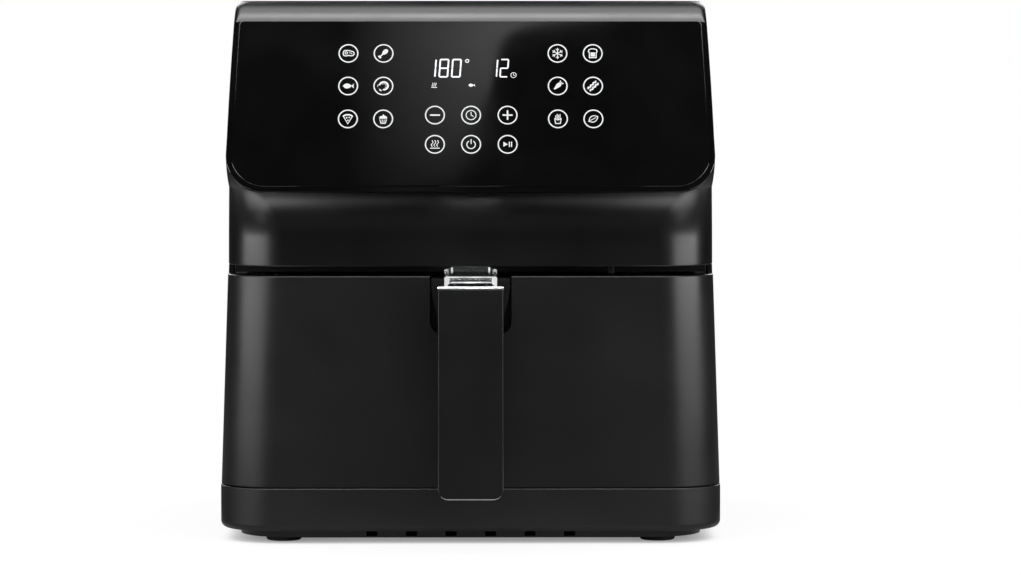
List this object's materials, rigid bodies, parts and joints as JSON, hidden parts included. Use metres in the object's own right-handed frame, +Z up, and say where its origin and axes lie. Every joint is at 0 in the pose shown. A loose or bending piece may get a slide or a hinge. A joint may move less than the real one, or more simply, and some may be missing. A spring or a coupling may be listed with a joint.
{
  "type": "air fryer",
  "caption": "Countertop air fryer: black housing with a leaning touch panel over a cove, pull-out drawer with basket, guarded release button, heater and fans.",
  "frame": {"origin": "on the standing surface, under the middle of the bounding box", "axes": "+Z up, the drawer's face looks along -Y, +X to the right of someone facing it"},
  "size_m": [0.3, 0.36, 0.3225],
  "materials": {
    "shell_black": "satin black moulded plastic",
    "drawer_black": "satin black moulded plastic",
    "tray_black": "satin black moulded plastic",
    "panel_black": "high gloss black touch panel",
    "dark_plastic": "matt black plastic",
    "grip_black": "fine-grained black plastic",
    "rubber_black": "matt rubber",
    "chrome_trim": "bright plated",
    "clear_guard": "clear plastic",
    "nonstick": "dark grey non-stick coating",
    "sheet_steel": "bare sheet steel",
    "heater_steel": "heat-tinted sheath",
    "fan_aluminium": "pressed aluminium",
    "motor_steel": "stacked laminations",
    "copper": "enamelled copper winding",
    "brass_nut": "turned brass",
    "screw_steel": "zinc-plated steel",
    "board_green": "solder-masked board",
    "display_white": "white light-guide block",
    "switch_black": "moulded switch case",
    "cutout_white": "glazed ceramic body",
    "spring_steel": "spring wire"
  },
  "bodies": {
    "housing": {"base_tray": "tray_black", "rubber_feet": "rubber_black", "housing_screws": "screw_steel", "body_shell": "shell_black", "hood_shell": "shell_black", "control_panel": "panel_black", "display_module": "display_white", "control_board": "board_green", "front_lintel": "dark_plastic", "drawer_switch": "switch_black", "outlet_grille": "dark_plastic", "inlet_grille": "dark_plastic", "cord_gland": "rubber_black", "cooking_chamber": "sheet_steel", "drawer_rails": "sheet_steel", "heat_shield": "sheet_steel", "exhaust_duct": "sheet_steel", "heating_element": "heater_steel", "element_clips": "sheet_steel", "temperature_probe": "screw_steel", "thermal_cutout": "cutout_white", "motor_bridge": "sheet_steel", "motor_core": "motor_steel", "motor_coil": "copper", "bearing_plates": "sheet_steel", "power_board": "board_green"},
    "rotor": {"motor_shaft": "screw_steel", "motor_rotor": "motor_steel", "hot_air_fan": "fan_aluminium", "fan_nut": "brass_nut", "cooling_fan": "dark_plastic"},
    "drawer": {"drawer_front": "drawer_black", "drawer_frame": "dark_plastic", "outer_basket": "nonstick", "drawer_screws": "screw_steel", "inner_basket": "nonstick", "basket_bumpers": "rubber_black", "basket_bracket": "sheet_steel", "basket_rivets": "screw_steel", "handle_neck": "grip_black", "handle_grip": "grip_black", "handle_cover": "grip_black", "handle_trim": "chrome_trim", "latch_spring": "spring_steel"},
    "guard": {"button_guard": "clear_guard"},
    "button": {"release_button": "dark_plastic", "release_latch": "screw_steel"}
  },
  "joints": [
    {"name": "fan_spin", "type": "hinge", "parent": "housing", "child": "rotor", "pos_m": [0, 0.01, 0.19], "axis": [0, 0, 1], "continuous": true},
    {"name": "drawer_slide", "type": "slide", "parent": "housing", "child": "drawer", "axis": [0, -1, 0], "range_m": [0, 0.24]},
    {"name": "guard_slide", "type": "slide", "parent": "drawer", "child": "guard", "axis": [0, -1, 0], "range_m": [0, 0.017]},
    {"name": "button_press", "type": "slide", "parent": "drawer", "child": "button", "axis": [0, 0, -1], "range_m": [0, 0.0035], "stiffness_N_per_m": 500, "springref_m": -0.0015, "deforming": ["latch_spring"]}
  ]
}
